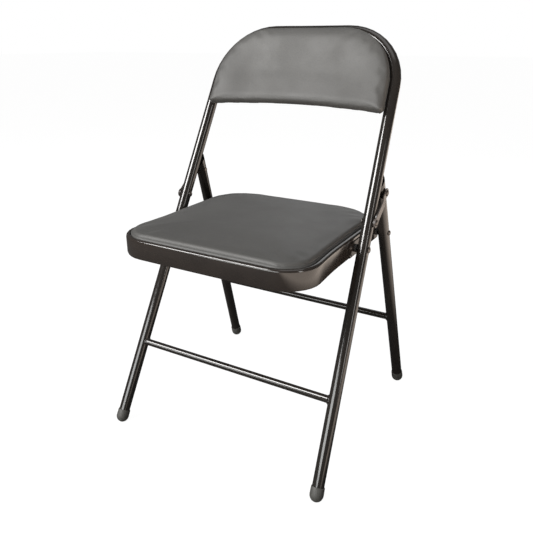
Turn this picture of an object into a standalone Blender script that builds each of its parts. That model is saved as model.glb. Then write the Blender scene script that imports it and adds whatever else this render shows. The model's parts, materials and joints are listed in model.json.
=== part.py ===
"""Steel folding chair with a padded seat and back.

Metres, +Z up. The chair faces -Y and stands on z = 0, with its origin at the
bottom centre of its box. A bent front tube carries the back and the front feet.
The seat hinges on it, the rear legs hinge on the seat, and a short link on each
side joins the front tube to the top of the rear leg.
"""
import math

import bmesh
import bpy
from mathutils import Vector

# Overall frame
HEIGHT = 0.775
HALF_WIDTH_AT_FLOOR = 0.2262
NARROWING = 0.047
FOOT_SPACING = 0.4523
FRONT_LEAN = math.radians(27.82)
REAR_LEAN = math.radians(18.48)
CENTRE_Y = 0.2271
TUBE_RADIUS = 0.011
TUBE_WALL = 0.0012
ARCH_RADIUS = 0.114
TUBE_SIDES = 20
GAP = 0.0003

# Crossbars
FRONT_BAR_HEIGHT = 0.156
REAR_BAR_HEIGHT = 0.187
BAR_RADIUS = 0.0070
BAR_WALL = 0.0012
WELD_FLARE = 0.0016
WELD_LENGTH = 0.0030
BAR_SIDES = 16

# Rubber feet
FOOT_RADIUS = 0.0126
FOOT_CONTACT = 0.0012
FOOT_LENGTH = 0.0270
FOOT_FLOOR_THICKNESS = 0.0098
FOOT_SIDES = 18

# Hinge places: distance along the front tube, or height on the rear leg
SEAT_HINGE_ALONG = 0.4509
LINK_HINGE_ALONG = 0.5015
LEG_HINGE_HEIGHT = 0.4005
LINK_TOP_HEIGHT = 0.4859
LEG_TOP_CLEARANCE = 0.0125

# Rivets, bushes, washers and links
SHANK_RADIUS = 0.0029
HOLE_RADIUS = 0.0032
HEAD_RADIUS = 0.0060
HEAD_HEIGHT = 0.0026
FLAT_DEPTH = 0.0010
FLAT_HALF_LENGTH = 0.0080
FLAT_RUNOUT = 0.0050
BUSH_RADIUS = 0.0075
WASHER_THICKNESS = 0.0009
LINK_THICKNESS = 0.0022
LINK_END_RADIUS = 0.0088
LINK_HALF_WIDTH = 0.0070
LINK_LEG_GAP = 0.0008
PIN_HEAD_RADIUS = 0.0045
PIN_HEAD_HEIGHT = 0.0008
ROUND_SIDES = 14
HOLE_SIDES = 12

# Seat
SEAT_HALF_WIDTH = 0.190
SEAT_FRONT = -0.0040
SEAT_REAR = 0.3755
SEAT_FRONT_CORNER = 0.062
SEAT_REAR_CORNER = 0.088
SEAT_FRONT_BOW = 0.0015
SEAT_FLARE = 0.0050
FLARE_START = 0.140
FLARE_END = 0.030
SEAT_BOTTOM = 0.383
SEAT_RIM = 0.420
SHEET = 0.0014
RIM_ROUNDING = 0.0045
RIM_WIDTH = 0.0075
LEDGE_DEPTH = 0.0070
LEDGE_WIDTH = 0.030
BOTTOM_LIP = 0.011
BOTTOM_CURL = 0.0035
BOARD_THICKNESS = 0.0058
BOARD_INSET = 0.0108
CUSHION_INSET = 0.0088
CUSHION_CROWN = 0.0160
SEAT_SCREW_PLACES = (("front", 0.085), ("rear", 0.275))
PLATE_THICKNESS = 0.0015
PLATE_FRONT_MARGIN = 0.0300
PLATE_REAR_MARGIN = 0.0165
PLATE_HALF_HEIGHT = 0.0135
PLATE_RIVET_HEIGHTS = (-0.0090, 0.0060)
PLATE_RIVET_HEAD = 0.0034
CORNER_STEPS = 8

# Back
PAD_EDGE_INSET = 0.0050
PAD_TOP_INSET = 0.0010
PAD_THICKNESS = 0.0150
PAD_BOTTOM_ALONG = 0.7000
PAD_BOTTOM_RISE = 0.0090
PAD_HOLLOW = 0.0120
PAD_BLEND = 0.085
PAD_CORNER = 0.014
PANEL_THICKNESS = 0.0012
PANEL_INSET = 0.0065
PANEL_RECESS = 0.0021
BACK_BOARD_THICKNESS = 0.0045
BACK_BOARD_INSET = 0.0045
BACK_LAYER_GAP = 0.0013
BACK_SCREW_PLACES = (("low", 0.120, 0.735), ("high", 0.095, 0.810))

# Screws
SCREW_HEAD_RADIUS = 0.0048
SCREW_HEAD_HEIGHT = 0.0022
SCREW_SHANK_RADIUS = 0.0019
SCREW_HOLE_RADIUS = 0.0022
SCREW_SIDES = 12
BACK_SCREW_CLEARANCE = 0.0009


# ---------------------------------------------------------------- places

def front_point(x, along, behind):
    """A point beside the front tube: along it from the floor, and behind it."""
    y = along * math.sin(FRONT_LEAN) + behind * math.cos(FRONT_LEAN)
    z = along * math.cos(FRONT_LEAN) - behind * math.sin(FRONT_LEAN)
    return Vector((x, y - CENTRE_Y, z))


def rear_point(x, along, behind):
    """The same beside the rear leg, which leans forward from its foot."""
    y = FOOT_SPACING - along * math.sin(REAR_LEAN) + behind * math.cos(REAR_LEAN)
    z = along * math.cos(REAR_LEAN) + behind * math.sin(REAR_LEAN)
    return Vector((x, y - CENTRE_Y, z))


def half_width(z):
    """Half the spacing of the tubes' centre lines at height z."""
    return HALF_WIDTH_AT_FLOOR - NARROWING * z


def front_axis(side, along):
    return front_point(side * half_width(along * math.cos(FRONT_LEAN)), along, 0.0)


def rear_axis(side, along):
    return rear_point(side * half_width(along * math.cos(REAR_LEAN)), along, 0.0)


def rear_along(z):
    return z / math.cos(REAR_LEAN)


SIDES = (("left", -1), ("right", 1))
SEAT_HINGE = front_point(0.0, SEAT_HINGE_ALONG, 0.0)
LINK_HINGE = front_point(0.0, LINK_HINGE_ALONG, 0.0)
LEG_HINGE = rear_point(0.0, rear_along(LEG_HINGE_HEIGHT), 0.0)
LINK_TOP = rear_point(0.0, rear_along(LINK_TOP_HEIGHT), 0.0)


# ---------------------------------------------------------------- materials

def material(name, colour, roughness, metallic):
    made = bpy.data.materials.new(name)
    made.use_nodes = True
    shader = made.node_tree.nodes["Principled BSDF"]
    shader.inputs["Base Color"].default_value = (*colour, 1.0)
    shader.inputs["Roughness"].default_value = roughness
    shader.inputs["Metallic"].default_value = metallic
    made.diffuse_color = (*colour, 1.0)
    return made


def make_materials():
    return {
        "frame": material("frame_paint", (0.020, 0.018, 0.016), 0.22, 0.30),
        "seat_steel": material("seat_frame_paint", (0.028, 0.024, 0.022), 0.24, 0.30),
        "link": material("link_steel", (0.060, 0.052, 0.050), 0.35, 0.60),
        "rivet": material("rivet_steel", (0.040, 0.036, 0.034), 0.30, 0.70),
        "bush": material("bush_plastic", (0.030, 0.030, 0.030), 0.50, 0.0),
        "vinyl": material("vinyl", (0.105, 0.103, 0.100), 0.48, 0.0),
        "board": material("plywood", (0.42, 0.30, 0.18), 0.70, 0.0),
        "rubber": material("foot_rubber", (0.055, 0.054, 0.050), 0.65, 0.0),
        "screw": material("screw_steel", (0.45, 0.45, 0.46), 0.35, 0.90),
    }


# ---------------------------------------------------------------- mesh tools

def face_outwards(shape):
    bmesh.ops.recalc_face_normals(shape, faces=shape.faces)
    if shape.calc_volume(signed=True) < 0.0:
        bmesh.ops.reverse_faces(shape, faces=shape.faces)


def finish_object(name, shape, look, hinge=None, smooth_angle=40.0):
    """Make an object from a bmesh; its origin is on its hinge when it has one."""
    origin = Vector((0.0, 0.0, 0.0)) if hinge is None else hinge.matrix_world.translation.copy()
    bmesh.ops.translate(shape, verts=shape.verts, vec=-origin)
    face_outwards(shape)
    mesh = bpy.data.meshes.new(name)
    shape.to_mesh(mesh)
    shape.free()
    mesh.materials.append(look)
    mesh.shade_smooth()
    mesh.set_sharp_from_angle(angle=math.radians(smooth_angle))
    made = bpy.data.objects.new(name, mesh)
    bpy.context.scene.collection.objects.link(made)
    if hinge is not None:
        made.parent = hinge
    return made


def make_hinge(name, place, parent=None):
    hinge = bpy.data.objects.new(name, None)
    bpy.context.scene.collection.objects.link(hinge)
    hinge.empty_display_size = HEAD_RADIUS
    if parent is None:
        hinge.location = place
    else:
        hinge.parent = parent
        hinge.location = place - parent.matrix_world.translation
    bpy.context.view_layer.update()
    return hinge


def bridge(shape, rings, closed_ends=False, closed_loop=False):
    """Join rings of equal point counts with quads; ends may be filled."""
    made = [[shape.verts.new(point) for point in ring] for ring in rings]
    pairs = list(zip(made, made[1:]))
    if closed_loop:
        pairs.append((made[-1], made[0]))
    for first, second in pairs:
        count = len(first)
        for index in range(count):
            after = (index + 1) % count
            shape.faces.new((first[index], first[after], second[after], second[index]))
    if closed_ends:
        shape.faces.new(made[0])
        shape.faces.new(list(reversed(made[-1])))
    return made


def circle(count, start=0.0):
    """Cosine and sine pairs round a circle."""
    step = 2.0 * math.pi / count
    return [(math.cos(start + step * k), math.sin(start + step * k)) for k in range(count)]


def turned(profile, base, axis, across, sides=ROUND_SIDES):
    """A solid of revolution. The profile is a closed loop of (radius, distance)
    pairs, or runs from the axis to the axis."""
    shape = bmesh.new()
    across = (across - axis * across.dot(axis)).normalized()
    third = axis.cross(across)
    directions = [across * c + third * s for c, s in circle(sides)]
    on_axis = profile[0][0] == 0.0
    body = profile[1:-1] if on_axis else profile
    rings = [[base + axis * d + way * r for way in directions] for r, d in body]
    made = bridge(shape, rings, closed_loop=not on_axis)
    if on_axis:
        for point, ring in ((profile[0], made[0]), (profile[-1], made[-1])):
            tip = shape.verts.new(base + axis * point[1])
            for index in range(sides):
                shape.faces.new((ring[index], ring[(index + 1) % sides], tip))
    return shape


def any_across(axis):
    """A direction that is clearly not along the axis."""
    return Vector((0.0, 1.0, 0.0)) if abs(axis.y) < 0.5 else Vector((1.0, 0.0, 0.0))


def drilled(start, end, radius):
    """A cylinder that takes away a hole from start to end."""
    axis = (end - start).normalized()
    length = (end - start).length
    profile = [(0.0, 0.0), (radius, 0.0), (radius, length), (0.0, length)]
    return turned(profile, start, axis, any_across(axis), HOLE_SIDES)


def cut_hole(target, name, start, end, radius, hinge=None):
    """Cut a round hole along a line with a hidden cutter."""
    cutter = finish_object(name, drilled(start, end, radius), target.data.materials[0], hinge)
    add_cutter(target, cutter)


def add_cutter(target, cutter):
    cutter.hide_render = True
    cutter.display_type = "WIRE"
    modifier = target.modifiers.new(cutter.name, "BOOLEAN")
    modifier.operation = "DIFFERENCE"
    modifier.solver = "EXACT"
    modifier.object = cutter


# ---------------------------------------------------------------- tubes

def tube(stations, wall, sides):
    """A hollow tube with open ends. Each station is a centre, two directions
    across the tube, its radius and how far its first direction reaches."""
    shape = bmesh.new()
    outer_rings = []
    inner_rings = []
    for centre, first, second, radius, reach in stations:
        outer = []
        inner = []
        for c, s in circle(sides, math.pi / sides):
            outer.append(centre + first * min(radius * c, reach) + second * radius * s)
            bore = radius - wall
            inner.append(centre + first * min(bore * c, reach - wall) + second * bore * s)
        outer_rings.append(outer)
        inner_rings.append(inner)
    bridge(shape, outer_rings + inner_rings[::-1], closed_loop=True)
    return shape


def flat_stations(places):
    """Distances along a leg, with how much its outer side is pressed in."""
    stations = []
    for place in sorted(places):
        stations.append((place - FLAT_HALF_LENGTH - FLAT_RUNOUT, 0.0))
        stations.append((place - FLAT_HALF_LENGTH, FLAT_DEPTH))
        stations.append((place + FLAT_HALF_LENGTH, FLAT_DEPTH))
        stations.append((place + FLAT_HALF_LENGTH + FLAT_RUNOUT, 0.0))
    return stations


def front_tube_stations():
    """From the left foot up, round the arch and down to the right foot."""
    normal = front_point(0.0, 0.0, 1.0) - front_point(0.0, 0.0, 0.0)
    slope = math.atan(NARROWING * math.cos(FRONT_LEAN))
    top = (HEIGHT - TUBE_RADIUS) / math.cos(FRONT_LEAN)
    centre_along = top - ARCH_RADIUS
    edge = half_width(centre_along * math.cos(FRONT_LEAN))
    centre_x = edge - ARCH_RADIUS / math.cos(slope)
    leg = [(foot_end_along(FRONT_LEAN), 0.0)]
    leg += flat_stations((SEAT_HINGE_ALONG, LINK_HINGE_ALONG))
    right = []
    for along, depth in leg:
        centre = front_axis(1, along)
        outward = (front_point(math.cos(slope), math.sin(slope), 0.0)
                   - front_point(0.0, 0.0, 0.0))
        right.append((centre, outward, normal, TUBE_RADIUS, TUBE_RADIUS - depth))
    steps = 11
    for step in range(steps + 1):
        angle = slope + (math.pi / 2.0 - slope) * step / steps
        centre = front_point(centre_x + ARCH_RADIUS * math.cos(angle),
                             centre_along + ARCH_RADIUS * math.sin(angle), 0.0)
        outward = (front_point(math.cos(angle), math.sin(angle), 0.0)
                   - front_point(0.0, 0.0, 0.0))
        right.append((centre, outward, normal, TUBE_RADIUS, TUBE_RADIUS))
    left = []
    for centre, outward, across, radius, reach in reversed(right):
        mirror_centre = Vector((-centre.x, centre.y, centre.z))
        mirror_out = Vector((-outward.x, outward.y, outward.z))
        left.append((mirror_centre, mirror_out, across, radius, reach))
    return right + left


def foot_end_along(lean):
    """Where a tube ends inside its rubber foot."""
    return foot_ball_along(lean) - FOOT_RADIUS + FOOT_FLOOR_THICKNESS + GAP


def foot_ball_along(lean):
    """Centre of the foot's round end, set so that it stands on the floor."""
    return (FOOT_RADIUS - FOOT_CONTACT) / math.cos(lean)


def make_front_tube(look):
    shape = tube(front_tube_stations(), TUBE_WALL, TUBE_SIDES)
    frame = finish_object("front_frame_tube", shape, look)
    reach = Vector((2.0 * TUBE_RADIUS, 0.0, 0.0))
    for word, side in SIDES:
        for what, along in (("seat_hinge", SEAT_HINGE_ALONG), ("link_hinge", LINK_HINGE_ALONG)):
            centre = front_axis(side, along)
            cut_hole(frame, f"cut_front_{what}_{word}", centre - reach, centre + reach, HOLE_RADIUS)
    return frame


def make_rear_leg(word, side, look, hinge):
    """A straight tube, with its top cut off parallel to the front tube."""
    slope = math.atan(NARROWING * math.cos(REAR_LEAN))
    outward = rear_point(side * math.cos(slope), math.sin(slope), 0.0) - rear_point(0.0, 0.0, 0.0)
    normal = rear_point(0.0, 0.0, 1.0) - rear_point(0.0, 0.0, 0.0)
    bottom = foot_end_along(REAR_LEAN)
    top = rear_along(HEIGHT * 0.72)
    stations = [(rear_axis(side, along), outward, normal, TUBE_RADIUS, TUBE_RADIUS)
                for along in (bottom, top)]
    leg = finish_object(f"rear_leg_{word}", tube(stations, TUBE_WALL, TUBE_SIDES), look, hinge)
    reach = Vector((2.0 * TUBE_RADIUS, 0.0, 0.0))
    for what, height in (("leg_hinge", LEG_HINGE_HEIGHT), ("link_top", LINK_TOP_HEIGHT)):
        centre = rear_axis(side, rear_along(height))
        cut_hole(leg, f"cut_rear_{what}_{word}", centre - reach, centre + reach, HOLE_RADIUS, hinge)
    add_cutter(leg, make_top_cutter(word, side, look, hinge))
    return leg


def make_top_cutter(word, side, look, hinge):
    """A block that takes away the leg where it would meet the front tube."""
    size = 4.0 * TUBE_RADIUS
    centre_x = side * half_width(LINK_TOP_HEIGHT)
    shape = bmesh.new()
    rings = []
    for along in (LINK_HINGE_ALONG, LINK_HINGE_ALONG + 14.0 * TUBE_RADIUS):
        rings.append([front_point(centre_x + dx, along, behind) for dx, behind in (
            (-size, -size), (size, -size), (size, LEG_TOP_CLEARANCE), (-size, LEG_TOP_CLEARANCE))])
    bridge(shape, rings, closed_ends=True)
    return finish_object(f"cut_rear_top_{word}", shape, look, hinge)


def make_crossbar(name, height, point, lean, look, hinge=None):
    """A hollow bar whose flared ends follow the round tubes they are welded to."""
    shape = bmesh.new()
    along = height / math.cos(lean)
    slope = math.atan(NARROWING * math.cos(lean))
    reach = TUBE_RADIUS + GAP
    shape_rings = []
    for radius_of, order in ((lambda extra: BAR_RADIUS + extra, 1),
                             (lambda extra: BAR_RADIUS - BAR_WALL, -1)):
        rings = []
        for side in (-1, 1):
            ends = [(0.0, WELD_FLARE), (WELD_LENGTH * 0.4, WELD_FLARE * 0.45), (WELD_LENGTH, 0.0)]
            rows = ends if side < 0 else ends[::-1]
            for inset, flare in rows:
                radius = radius_of(flare)
                ring = []
                for c, s in circle(BAR_SIDES):
                    up = radius * c
                    behind = radius * s
                    middle = half_width((along + up) * math.cos(lean))
                    cope = math.sqrt(reach ** 2 - behind ** 2) / math.cos(slope)
                    ring.append(point(side * (middle - cope - inset), along + up, behind))
                rings.append(ring)
        shape_rings += rings[::order]
    bridge(shape, shape_rings, closed_loop=True)
    return finish_object(name, shape, look, hinge)


def make_foot(name, base, axis, lean, look, hinge=None):
    """A rubber cup with a round end, standing flat on the floor."""
    ball = foot_ball_along(lean)
    bore = TUBE_RADIUS + GAP
    tube_end = ball - FOOT_RADIUS + FOOT_FLOOR_THICKNESS
    rim = ball - FOOT_RADIUS + FOOT_LENGTH
    profile = [(0.0, tube_end), (bore, tube_end), (bore, rim),
               (FOOT_RADIUS - 0.0008, rim), (FOOT_RADIUS - 0.0003, rim - 0.0008),
               (FOOT_RADIUS, ball)]
    steps = 5
    for step in range(1, steps):
        angle = math.pi / 2.0 * step / steps
        profile.append((FOOT_RADIUS * math.cos(angle), ball - FOOT_RADIUS * math.sin(angle)))
    profile.append((0.0, ball - FOOT_RADIUS))
    shape = turned(profile, base, axis, Vector((1.0, 0.0, 0.0)), FOOT_SIDES)
    for vertex in shape.verts:
        vertex.co.z = max(vertex.co.z, 0.0)
    return finish_object(name, shape, look, hinge, smooth_angle=50.0)


# ---------------------------------------------------------------- rivets and links

def make_rivet(name, side, place, outer, inner, look, hinge, head=HEAD_RADIUS):
    """A rivet along X. outer and inner are how far from the middle of the chair
    the faces under its two heads are."""
    height = HEAD_HEIGHT
    profile = [(0.0, outer + height), (head * 0.50, outer + height * 0.90),
               (head * 0.82, outer + height * 0.60), (head, outer + height * 0.15), (head, outer),
               (SHANK_RADIUS, outer), (SHANK_RADIUS, inner), (head * 0.9, inner),
               (head * 0.9, inner - height * 0.30), (head * 0.6, inner - height * 0.60),
               (0.0, inner - height * 0.70)]
    base = Vector((0.0, place.y, place.z))
    shape = turned(profile, base, Vector((side, 0.0, 0.0)), Vector((0.0, 1.0, 0.0)))
    return finish_object(name, shape, look, hinge)


def make_ring(name, side, place, outer, inner, radius, look, hinge):
    """A bush or washer round a rivet."""
    profile = [(HOLE_RADIUS, inner), (radius, inner), (radius, outer), (HOLE_RADIUS, outer)]
    base = Vector((0.0, place.y, place.z))
    shape = turned(profile, base, Vector((side, 0.0, 0.0)), Vector((0.0, 1.0, 0.0)))
    return finish_object(name, shape, look, hinge)


def link_faces():
    """How far from the middle the link's inner face is, at each end."""
    low = half_width(LINK_HINGE.z) + TUBE_RADIUS - FLAT_DEPTH + 2.0 * GAP
    low += 2.0 * WASHER_THICKNESS + GAP
    high = half_width(LINK_TOP.z) + TUBE_RADIUS + LINK_LEG_GAP
    return low, high


def make_link(word, side, look, hinge):
    """A flat link with round ends and a small step towards the rear leg."""
    low, high = link_faces()
    along = (LINK_TOP - LINK_HINGE).normalized()
    across = Vector((0.0, -along.z, along.y))
    length = (LINK_TOP - LINK_HINGE).length
    waist = math.asin(LINK_HALF_WIDTH / LINK_END_RADIUS)
    steps = 8
    angles = [0.14 + (math.pi - waist - 0.14) * k / steps for k in range(steps + 1)]
    end = [(-LINK_END_RADIUS * math.cos(a), LINK_END_RADIUS * math.sin(a)) for a in angles]
    step_start = length * 0.62
    step_end = length * 0.80
    stations = [(u, w, low) for u, w in end]
    stations += [(step_start, LINK_HALF_WIDTH, low), (step_end, LINK_HALF_WIDTH, high)]
    stations += [(length - u, w, high) for u, w in reversed(end)]
    rings = []
    for u, w, face in stations:
        middle = LINK_HINGE + along * u
        ring = []
        for edge, x in ((-w, face), (w, face), (w, face + LINK_THICKNESS), (-w, face + LINK_THICKNESS)):
            point = middle + across * edge
            ring.append(Vector((side * x, point.y, point.z)))
        rings.append(ring)
    shape = bmesh.new()
    bridge(shape, rings, closed_ends=True)
    link = finish_object(f"link_{word}", shape, look, hinge, smooth_angle=30.0)
    for what, place in (("low", LINK_HINGE), ("high", LINK_TOP)):
        start = Vector((side * (high - LINK_THICKNESS), place.y, place.z))
        end_point = Vector((side * (low + 3.0 * LINK_THICKNESS), place.y, place.z))
        cut_hole(link, f"cut_link_{what}_{word}", start, end_point, HOLE_RADIUS, hinge)
    return link


def make_hinge_hardware(word, side, looks, hinges):
    """Rivets, bushes and washers on one side of the chair."""
    flat = TUBE_RADIUS - FLAT_DEPTH + 2.0 * GAP
    plate_face = SEAT_HALF_WIDTH + GAP + PLATE_THICKNESS + GAP
    apron_inside = SEAT_HALF_WIDTH - SHEET - GAP
    low, high = link_faces()

    tube_x = half_width(SEAT_HINGE.z)
    make_rivet(f"seat_hinge_rivet_{word}", side, SEAT_HINGE, tube_x + flat, apron_inside,
               looks["rivet"], None)
    make_ring(f"seat_hinge_bush_{word}", side, SEAT_HINGE, tube_x - TUBE_RADIUS - 2.0 * GAP,
              plate_face, BUSH_RADIUS, looks["bush"], None)

    tube_x = half_width(LINK_HINGE.z)
    make_rivet(f"link_hinge_rivet_{word}", side, LINK_HINGE, low + LINK_THICKNESS + GAP,
               tube_x - TUBE_RADIUS - GAP, looks["rivet"], None)
    make_ring(f"link_hinge_washer_{word}", side, LINK_HINGE, low - GAP, tube_x + flat,
              BUSH_RADIUS, looks["link"], None)

    leg_x = half_width(LEG_HINGE.z)
    make_rivet(f"leg_hinge_rivet_{word}", side, LEG_HINGE, leg_x + TUBE_RADIUS + GAP,
               SEAT_HALF_WIDTH, looks["rivet"], hinges["seat"], head=HEAD_RADIUS * 0.85)
    make_ring(f"leg_hinge_bush_{word}", side, LEG_HINGE, leg_x - TUBE_RADIUS - 2.0 * GAP, plate_face,
              BUSH_RADIUS, looks["bush"], hinges["seat"])

    leg_x = half_width(LINK_TOP.z)
    make_link_head(f"link_top_head_{word}", side, high, looks["rivet"], hinges[f"link_{word}"])
    make_leg_pin(f"link_top_pin_{word}", side, leg_x, looks["rivet"], hinges["leg"])


def make_link_head(name, side, face, look, hinge):
    """The outer head of the link's upper rivet, with the shank inside the link."""
    outer = face + LINK_THICKNESS + GAP
    head = HEAD_RADIUS
    profile = [(0.0, outer + HEAD_HEIGHT), (head * 0.50, outer + HEAD_HEIGHT * 0.90),
               (head * 0.82, outer + HEAD_HEIGHT * 0.60), (head, outer + HEAD_HEIGHT * 0.15),
               (head, outer), (SHANK_RADIUS, outer), (SHANK_RADIUS, face), (0.0, face)]
    shape = turned(profile, Vector((0.0, LINK_TOP.y, LINK_TOP.z)), Vector((side, 0.0, 0.0)),
                   Vector((0.0, 1.0, 0.0)))
    return finish_object(name, shape, look, hinge)


def make_leg_pin(name, side, leg_x, look, hinge):
    """The part of the same rivet that stays in the rear leg."""
    outer = leg_x + TUBE_RADIUS + GAP
    inner = leg_x - TUBE_RADIUS - GAP
    profile = [(0.0, outer), (SHANK_RADIUS, outer), (SHANK_RADIUS, inner),
               (PIN_HEAD_RADIUS, inner), (PIN_HEAD_RADIUS, inner - 0.5 * PIN_HEAD_HEIGHT),
               (SHANK_RADIUS, inner - PIN_HEAD_HEIGHT), (0.0, inner - PIN_HEAD_HEIGHT)]
    shape = turned(profile, Vector((0.0, LINK_TOP.y, LINK_TOP.z)), Vector((side, 0.0, 0.0)),
                   Vector((0.0, 1.0, 0.0)))
    return finish_object(name, shape, look, hinge)


# ---------------------------------------------------------------- seat

FLARE_ROWS = [FLARE_START - (FLARE_START - FLARE_END) * share for share in (0.6, 0.4, 0.2, 0.0)]


def smoothstep(value):
    value = min(1.0, max(0.0, value))
    return value * value * (3.0 - 2.0 * value)


def seat_flare(y):
    """How much wider than at its hinges the seat is, y from the front feet."""
    share = smoothstep((FLARE_START - y) / (FLARE_START - FLARE_END))
    return 1.0 + SEAT_FLARE / SEAT_HALF_WIDTH * share


def seat_outline(inset):
    """The seat's plan, drawn in from its edge, as (x, y) points."""
    wide = SEAT_HALF_WIDTH - inset
    front = SEAT_FRONT + SEAT_FRONT_BOW + inset
    rear = SEAT_REAR - inset
    front_radius = SEAT_FRONT_CORNER - inset
    rear_radius = SEAT_REAR_CORNER - inset
    corners = [(wide - front_radius, front + front_radius, front_radius, -90.0),
               (wide - rear_radius, rear - rear_radius, rear_radius, 0.0),
               (rear_radius - wide, rear - rear_radius, rear_radius, 90.0),
               (front_radius - wide, front + front_radius, front_radius, 180.0)]
    points = []
    for centre_x, centre_y, radius, start in corners:
        for step in range(CORNER_STEPS + 1):
            angle = math.radians(start + 90.0 * step / CORNER_STEPS)
            points.append((centre_x + radius * math.cos(angle), centre_y + radius * math.sin(angle)))
        if len(points) == CORNER_STEPS + 1:
            points += [(wide, y) for y in FLARE_ROWS]
        elif len(points) == 3 * (CORNER_STEPS + 1) + len(FLARE_ROWS):
            points += [(-wide, y) for y in reversed(FLARE_ROWS)]
    edge = wide - front_radius
    points += [(edge * k / 3.0, front) for k in range(-2, 3)]
    middle = 0.5 * (SEAT_FRONT + SEAT_REAR)
    shaped = []
    for x, y in points:
        share = max(0.0, (middle - y) / (middle - front))
        bow = SEAT_FRONT_BOW * (1.0 - (x / SEAT_HALF_WIDTH) ** 2) * share
        shaped.append((x * seat_flare(y), y - bow))
    return shaped


def seat_rings(profile):
    """Rings round the seat for a profile of (inset, height) pairs."""
    return [[Vector((x, y - CENTRE_Y, z)) for x, y in seat_outline(inset)] for inset, z in profile]


def seat_frame_profile():
    """The pressed rim, its ledge for the board, the apron and its bottom lip."""
    ledge = SEAT_RIM - LEDGE_DEPTH
    curl = BOTTOM_CURL
    outside = [(BOTTOM_LIP, SEAT_BOTTOM), (curl, SEAT_BOTTOM),
               (curl * 0.28, SEAT_BOTTOM + curl * 0.28), (0.0, SEAT_BOTTOM + curl),
               (0.0, SEAT_RIM - RIM_ROUNDING),
               (RIM_ROUNDING * 0.12, SEAT_RIM - RIM_ROUNDING * 0.50),
               (RIM_ROUNDING * 0.50, SEAT_RIM - RIM_ROUNDING * 0.12), (RIM_ROUNDING, SEAT_RIM),
               (RIM_WIDTH - SHEET * 0.6, SEAT_RIM - SHEET * 0.15),
               (RIM_WIDTH, SEAT_RIM - SHEET), (RIM_WIDTH, ledge), (LEDGE_WIDTH, ledge)]
    inside = [(LEDGE_WIDTH, ledge - SHEET), (RIM_WIDTH - SHEET, ledge - SHEET),
              (RIM_WIDTH - SHEET, SEAT_RIM - 2.0 * SHEET), (RIM_ROUNDING, SEAT_RIM - SHEET * 1.2),
              (SHEET * 1.7, SEAT_RIM - SHEET * 1.7), (SHEET, SEAT_RIM - RIM_ROUNDING),
              (SHEET, SEAT_BOTTOM + curl), (SHEET * 1.7, SEAT_BOTTOM + SHEET * 1.3),
              (curl, SEAT_BOTTOM + SHEET), (BOTTOM_LIP, SEAT_BOTTOM + SHEET)]
    return outside + inside


def cutter_of_holes(name, holes, look, hinge):
    """One hidden cutter with a cylinder for each (start, end, radius)."""
    joined = bmesh.new()
    for start, end, radius in holes:
        single = drilled(start, end, radius)
        mesh = bpy.data.meshes.new(name)
        face_outwards(single)
        single.to_mesh(mesh)
        single.free()
        joined.from_mesh(mesh)
        bpy.data.meshes.remove(mesh)
    return finish_object(name, joined, look, hinge)


def plate_rivet_places():
    """Two small rivets at each end of a seat side plate."""
    rows = (SEAT_HINGE.y - 0.72 * PLATE_FRONT_MARGIN, LEG_HINGE.y - 2.0 * PLATE_REAR_MARGIN)
    return [(y, SEAT_HINGE.z + dz) for y in rows for dz in PLATE_RIVET_HEIGHTS]


def seat_screw_places():
    inset = 0.5 * (LEDGE_WIDTH + RIM_WIDTH)
    x = SEAT_HALF_WIDTH - inset
    places = []
    for word, side in SIDES:
        for where, y in SEAT_SCREW_PLACES:
            places.append((f"{where}_{word}", side * x, y - CENTRE_Y))
    return places


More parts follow.
